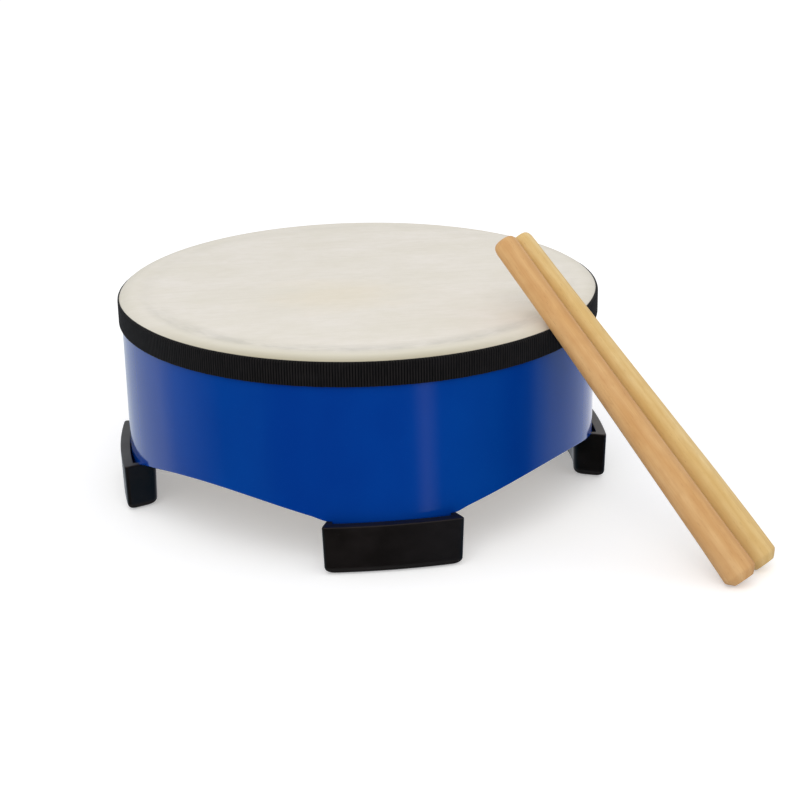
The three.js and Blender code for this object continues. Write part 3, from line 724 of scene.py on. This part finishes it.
def bend_depth(height):
    """How far the hide has come in at a height, where it bends over the rim."""
    rise = clamped((height - RIM_CENTRE) / HEAD_DROP)
    return HEAD_BEND * (1 - math.sqrt(1 - rise * rise))


def make_tape():
    steps = 5  # for each cord
    turns = full_turn(CORDS * steps)
    heights = [0.0, 0.12, 0.35, 0.9, 1.8, 3.2, 5.0, 7.0, 8.9, 10.0, 10.6, 11.2, 11.75, 11.98, TAPE_WIDTH]
    points = []
    for index, turn in enumerate(turns):
        crown = 0.5 - 0.5 * math.cos(2 * math.pi * index / steps)
        cord = index // steps
        slip = 0.04 * math.sin(cord * 2.399) + 0.03 * math.sin(cord * 0.73)
        lap = eased(turn, LAP_START, LAP_START + 0.008) * (1 - eased(turn, LAP_END - 0.002, LAP_END))
        sunk = (TAPE_LIFT + TAPE_SINK) * eased(math.sin(turn), -0.5, 0.5) - TAPE_LIFT
        for height in heights:
            edge = min(height, TAPE_WIDTH - height)
            shoulder = TAPE_EDGE * (1 - math.sqrt(max(0, 1 - (1 - min(edge / TAPE_EDGE, 1)) ** 2)))
            radius = TAPE_OUTER - shoulder - CORD_DEPTH * (1 - crown) * min(edge / 0.4, 1) + LAP_RISE * lap
            radius -= bend_depth(TAPE_BOTTOM + height - sunk)
            rise = (slip + 0.06 * crown) * (1 if height > TAPE_WIDTH / 2 else -1) * (1 - min(edge / 1.5, 1))
            points.append((radius, turn, TAPE_BOTTOM + height + rise - sunk))
        for height in (TAPE_WIDTH, 10.9, 9.9, 0.0):
            level = TAPE_BOTTOM + height - sunk
            points.append((TAPE_INNER - bend_depth(level), turn, level))
    placed = [(AXIS.x + r * math.cos(t), AXIS.y + r * math.sin(t), z) for r, t, z in points]
    return make_piece("rim_tape_grosgrain", placed, grid_faces(len(turns), len(heights) + 4, True, True), "drum",
                      ["rim_tape"], [tape_cloth], crease=60)


# Screws: pan heads with a cross recess

def make_screw_mesh():
    """One screw along +Z with its head's underside at 0, in millimetres."""
    head, shank, length, tip, tall = 3.0, 1.5, 7.5, 1.5, 1.8
    profile = [(head * math.sin(t), -tall * math.cos(t)) for t in np.linspace(0.12, QUARTER * 0.86, 9)]
    profile += [(head, -0.25), (head - 0.05, 0.0), (shank + 0.25, 0.0), (shank, 0.25)]
    thread = np.linspace(0.8, length - tip, 22)
    profile += [(shank if i % 2 else shank - 0.32, z) for i, z in enumerate(thread)]
    profile += [(shank * 0.45, length - 0.5), (0.12, length)]
    mesh = bmesh.new()
    sides = 28
    rings = []
    for radius, height in profile:
        rings.append([mesh.verts.new((radius * math.cos(t), radius * math.sin(t), height)) for t in full_turn(sides)])
    for below, above in zip(rings, rings[1:]):
        for i in range(sides):
            mesh.faces.new((below[i], below[(i + 1) % sides], above[(i + 1) % sides], above[i]))
    mesh.faces.new(rings[0][::-1])
    mesh.faces.new(rings[-1])
    return mesh


def cut_cross(mesh):
    """The cross recess: two tapered bars taken out of the head."""
    body = bpy.data.meshes.new("screw_work")
    mesh.to_mesh(body)
    mesh.free()
    work = bpy.data.objects.new("screw_work", body)
    bpy.context.scene.collection.objects.link(work)
    cutters = []
    for long_x, long_y in ((1.75, 0.36), (0.36, 1.75)):
        corners = []
        for height, share in ((-2.4, 1.15), (-0.7, 0.55)):
            for x, y in ((-1, -1), (1, -1), (1, 1), (-1, 1)):
                corners.append((x * long_x * share, y * long_y * share, height))
        sides = [(i, (i + 1) % 4, 4 + (i + 1) % 4, 4 + i) for i in range(4)]
        bar = bpy.data.meshes.new("screw_bar")
        bar.from_pydata(corners, [], [(3, 2, 1, 0), (4, 5, 6, 7), *sides])
        cutter = bpy.data.objects.new("screw_bar", bar)
        bpy.context.scene.collection.objects.link(cutter)
        cutters.append(cutter)
        step = work.modifiers.new("recess", "BOOLEAN")
        step.object = cutter
        step.operation = "DIFFERENCE"
        step.solver = "EXACT"
    evaluated = work.evaluated_get(bpy.context.evaluated_depsgraph_get())
    finished = bpy.data.meshes.new_from_object(evaluated)
    points = [tuple(v.co) for v in finished.vertices]
    faces = [tuple(p.vertices) for p in finished.polygons]
    for extra in (work, *cutters):
        bpy.data.objects.remove(extra)
    return points, faces


def screw_place(node):
    """Where a screw stands: on a radius of the drum through the middle of its CAD solid."""
    low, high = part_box(node)
    middle = (low + high) / 2
    outwards = Vector((middle.x * 1000 - AXIS.x, middle.y * 1000 - AXIS.y, 0)).normalized()
    seat = Vector((AXIS.x, AXIS.y, 0)) / 1000 + outwards * SCREW_SEAT / 1000
    seat.z = middle.z
    across = Vector((0, 0, 1)).cross(outwards)
    turned = Matrix((across, Vector((0, 0, 1)), outwards)).transposed()
    return Matrix.Translation(seat) @ turned.to_4x4()


# Beaters: turned sticks, bevelled at the thick end and rounded at the thin one

def stick_place(node, settled):
    """A beater's own frame, with its thick end at the origin and +Z up along it, and its length in millimetres."""
    corners = np.unique(np.round([tuple(v.co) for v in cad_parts[node].data.vertices], 7), axis=0)
    middle = corners.mean(axis=0)
    along = np.linalg.svd(corners - middle, full_matrices=False)[2][0]
    if along[2] < 0:
        along = -along
    reach = (corners - middle) @ along
    base = Vector(middle + along * reach.min()) + settled / 1000
    turned = Vector((0, 0, 1)).rotation_difference(Vector(along)).to_matrix().to_4x4()
    return Matrix.Translation(base) @ turned, float(reach.max() - reach.min()) * 1000


def make_beater(name, stick, length, wood, turning):
    """A beater that stands on its frame's origin, with the swell of its turning added to the straight taper."""
    shares, changes = zip(*turning)

    def taper(height):
        share = 1 - (height - BEATER_THICK_BEVEL) / (length - BEATER_THICK_BEVEL - BEATER_THIN_ROUND)
        return BEATER_THIN + (BEATER_THICK - BEATER_THIN) * share + float(np.interp(share, shares, changes))

    flat = BEATER_THICK - BEATER_THICK_BEVEL
    profile = [(1.5, 0.0), (flat - 0.8, 0.0), (flat - 0.25, 0.03), (flat + 0.1, 0.18)]
    profile += [(flat + BEATER_THICK_BEVEL * s, BEATER_THICK_BEVEL * s) for s in (0.2, 0.5, 0.8)]
    profile += [(BEATER_THICK - 0.25, BEATER_THICK_BEVEL - 0.1), (BEATER_THICK - 0.05, BEATER_THICK_BEVEL + 0.25)]
    profile += [(taper(z), z) for z in np.linspace(BEATER_THICK_BEVEL + 0.9, length - BEATER_THIN_ROUND - 0.8, 46)]
    thin_end = ((1.0, 4.6), (0.99, 3.7), (0.965, 2.8), (0.92, 1.95), (0.86, 1.25), (0.78, 0.7), (0.68, 0.3),
                (0.57, 0.08), (0.45, 0.0), (0.2, 0.0))
    profile += [(taper(length - BEATER_THIN_ROUND) * share, length - down) for share, down in thin_end]
    sides = 72
    points = []
    for radius, height in profile:
        points += [stick @ (Vector((radius * math.cos(t), radius * math.sin(t), height)) / 1000) * 1000
                   for t in full_turn(sides)]
    faces = grid_faces(len(profile), sides, False, True)
    last = (len(profile) - 1) * sides
    faces += [tuple(range(sides)), tuple(range(last, last + sides))]
    return make_piece(name + "_turned", points, faces, name, [name], [wood], crease=50)


lacquer = spray_lacquer()
shell_wood = birch_plywood("sanded_birch_plywood", "#d9bd8e", "#c9a873")
hoop_wood = birch_plywood("sawn_birch_plywood", "#d2b384", "#bf9c67")
hide = limed_rawhide()
tape_cloth = grosgrain_tape()
rubber = moulded_rubber()
screw_steel = plated_steel("zinc_plated_steel", "#c3c5c8", "#a3a5a8", 0.25)
staple_steel = plated_steel("bright_steel_wire", "#bcbdbf", "#9a9b9d", 0.3)

make_shell()
make_hoop()
make_hide()
make_tape()
for where, turns in FOOT_TURNS.items():
    make_foot("foot_" + where, turns * QUARTER)
screw_points, screw_faces = cut_cross(make_screw_mesh())
for where in FOOT_TURNS:
    for letter in "ab":
        node_name = f"foot_screw_{where}_{letter}"
        make_piece(node_name + "_pan_head", screw_points, screw_faces, "drum", [node_name],
                   [screw_steel], crease=30, place=screw_place(node_name))
for name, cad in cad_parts.items():
    if name.startswith("head_staple_"):
        cad.data.materials.clear()
        cad.data.materials.append(staple_steel)
# Each beater: where it settled, how far it overruns, its turning, its wood's name and colours, and the tree's heart,
# whose side of the stick is painted darker as painted shade
for side, settled, overrun, turning, wood, colours, heart in (
        ("left", LEFT_SETTLED, LEFT_OVERRUN, LEFT_TURNING, "turned_pinkish_hardwood",
         ("#ddb581", "#d4a56c", "#c4905b", "#9c663c"), (0.031, 0.017, 0.05)),
        ("right", RIGHT_SETTLED, 0.0, RIGHT_TURNING, "turned_yellowish_hardwood",
         ("#ead09b", "#e1c082", "#d0a865", "#9c6a36"), (-0.026, -0.026, 0.12))):
    stick, length = stick_place("beater_" + side, settled)
    material = turned_wood(wood, stick, *colours, heart)
    beater = make_beater("beater_" + side, stick, length + overrun, material, turning)
    # The sides of the beaters that the gloss would show are dark in the photographed light
    beater.visible_glossy = False


# Studio

def seen_directly(tree):
    """1 for what the camera sees, straight or in metal or glass, and 0 for light that falls on the drum."""
    path = add_node(tree, "ShaderNodeLightPath").outputs
    seen = path["Is Camera Ray"]
    for kind in ("Is Glossy Ray", "Is Transmission Ray"):
        seen = add_node(tree, MATH, {"operation": "MAXIMUM"}, {0: seen, 1: path[kind]})
    return seen


def stage_object(name, points, faces, material):
    """Something that stands round the drum and isn't part of it."""
    mesh = bpy.data.meshes.new(name)
    mesh.from_pydata(points, [], faces)
    mesh.materials.append(material)
    made = bpy.data.objects.new(name, mesh)
    bpy.context.scene.collection.objects.link(made)
    return made


def backlit_paper():
    """White paper over a light table. It lights the drum as plain paper does, and its glow is only for the eye."""
    made, tree = empty_material("backlit_paper")
    seen = seen_directly(tree)
    tone = add_node(tree, MAP_RANGE, {"To Min": PAPER_BOUNCE, "To Max": PAPER_TONE}, {"Value": seen})
    paper = add_node(tree, "ShaderNodeBsdfDiffuse", links={"Color": tone})
    strength = add_node(tree, MATH, {"operation": "MULTIPLY", 1: PAPER_GLOW}, {0: seen})
    glow = add_node(tree, "ShaderNodeEmission", {"Color": (1, 1, 1, 1)}, {"Strength": strength})
    both = add_node(tree, "ShaderNodeAddShader", links={0: paper, 1: glow})
    add_node(tree, "ShaderNodeOutputMaterial", links={"Surface": both})
    return made


def card_light(stops):
    """Glow of the cards that the gloss sees, by the turn from their middle. The dim cards are blue."""
    made, tree = empty_material("card_light")
    own = add_node(tree, "ShaderNodeTexCoord").outputs["Object"]
    x, y, z = add_node(tree, "ShaderNodeSeparateXYZ", links={0: own}).outputs
    front = add_node(tree, MATH, {"operation": "MULTIPLY", 1: -1.0}, {0: y})
    turn = add_node(tree, MATH, {"operation": "ARCTAN2"}, {0: x, 1: front})
    lean = add_node(tree, MATH,
                    {"operation": "MULTIPLY_ADD", 1: CARD_LEAN, 2: -CARD_LEAN * CARD_LEAN_FROM}, {0: z})
    leaning = add_node(tree, MATH, {"operation": "ADD"}, {0: turn, 1: lean})
    share = add_node(tree, MAP_RANGE, {"From Min": -math.pi, "From Max": math.pi}, {"Value": leaning})
    ramp = add_node(tree, "ShaderNodeValToRGB", links={"Fac": share})
    elements = ramp.color_ramp.elements
    for index, (angle, red, green, blue) in enumerate(stops):
        stop = elements[index] if index < 2 else elements.new((angle + 180) / 360)
        stop.position = (angle + 180) / 360
        stop.color = (red, green, blue, 1)
    glow = add_node(tree, "ShaderNodeEmission", {"Strength": 1.0}, {"Color": ramp})
    add_node(tree, "ShaderNodeOutputMaterial", links={"Surface": glow})
    return made


corners = [(x * FLOOR_HALF, y * FLOOR_HALF, FLOOR_LEVEL) for x, y in ((-1, -1), (1, -1), (1, 1), (-1, 1))]
floor = stage_object("paper_floor", corners, [(0, 1, 2, 3)], backlit_paper())
floor.visible_glossy = False

# Turn to the right of the cards' middle in degrees, and the light that the gloss meets there: red, green and blue
CARD_STOPS = [
    (-180, 0.74, 0.78, 0.82), (-110, 0.65, 0.76, 0.88), (-98, 0.33, 0.49, 0.70), (-78, 0.11, 0.26, 0.41),
    (-68, 0.02, 0.15, 0.24), (-48, 0.02, 0.14, 0.20), (-40, 0.00, 0.02, 0.04), (-34, 0.00, 0.00, 0.00),
    (20, 0.00, 0.00, 0.03), (24, 0.02, 0.05, 0.10), (29.5, 0.40, 0.40, 0.45), (37, 0.00, 0.11, 0.26),
    (46, 0.00, 0.15, 0.36), (66, 0.00, 0.17, 0.40), (74, 0.00, 0.06, 0.14), (80, 0.00, 0.03, 0.08),
    (86, 0.04, 0.11, 0.24), (92, 0.20, 0.34, 0.58), (104, 0.45, 0.57, 0.74), (121, 0.54, 0.62, 0.78),
    (138, 0.65, 0.72, 0.86), (150, 0.90, 0.92, 1.00), (180, 1.00, 1.00, 1.00)]
ring = [(CARD_DISTANCE * math.cos(t), CARD_DISTANCE * math.sin(t), height)
        for height in (CARD_LOW, CARD_HIGH) for t in full_turn(CARD_SIDES)]
cards = stage_object("light_cards", ring, grid_faces(2, CARD_SIDES, False, True), card_light(CARD_STOPS))
cards.location = (AXIS.x / 1000, AXIS.y / 1000, 0)
cards.rotation_euler = (0, 0, CARD_TURN)
for sight in ("camera", "diffuse", "shadow", "transmission", "volume_scatter"):
    setattr(cards, "visible_" + sight, False)

world = bpy.data.worlds.new("white_room")
bpy.context.scene.world = world
world.use_nodes = True
room = world.node_tree
room.nodes.clear()
level = add_node(room, MAP_RANGE, {"To Min": ROOM_LIGHT, "To Max": 1.0}, {"Value": seen_directly(room)})
sky = add_node(room, "ShaderNodeBackground", {"Color": (1, 1, 1, 1)}, {"Strength": level})
add_node(room, "ShaderNodeOutputWorld", links={"Surface": sky})


def softbox(name, place, target, width, watts):
    """A square soft light that the gloss doesn't show."""
    lamp = bpy.data.lights.new(name, "AREA")
    lamp.size = width
    lamp.energy = watts
    made = bpy.data.objects.new(name, lamp)
    bpy.context.scene.collection.objects.link(made)
    aim = (Vector(target) - Vector(place)).to_track_quat("-Z", "Y")
    made.matrix_world = Matrix.Translation(place) @ aim.to_matrix().to_4x4()
    made.visible_glossy = False


softbox("front_softbox", place=(-0.25, -0.9, 0.98), target=(0, 0, 0.05), width=0.9, watts=4.5)

# Camera of the photograph: its lens and sensor in millimetres, its place in metres and its three directions
camera = bpy.data.cameras.new("camera")
camera.lens = 81.75
camera.sensor_width = 36.0
camera.clip_start = 0.05
camera.clip_end = 50.0
viewer = bpy.data.objects.new("camera", camera)
bpy.context.scene.collection.objects.link(viewer)
right = Vector((0.99018505, -0.13881289, -0.01626467))
above = Vector((0.06374797, 0.34500778, 0.9364325))
ahead = Vector((0.12437746, 0.92827831, -0.35047059))
viewpoint = Vector((-0.12727, -0.89349, 0.3870))
viewer.matrix_world = Matrix.Translation(viewpoint) @ Matrix((right, above, -ahead)).transposed().to_4x4()
bpy.context.scene.camera = viewer
bpy.context.scene.view_settings.view_transform = "Standard"
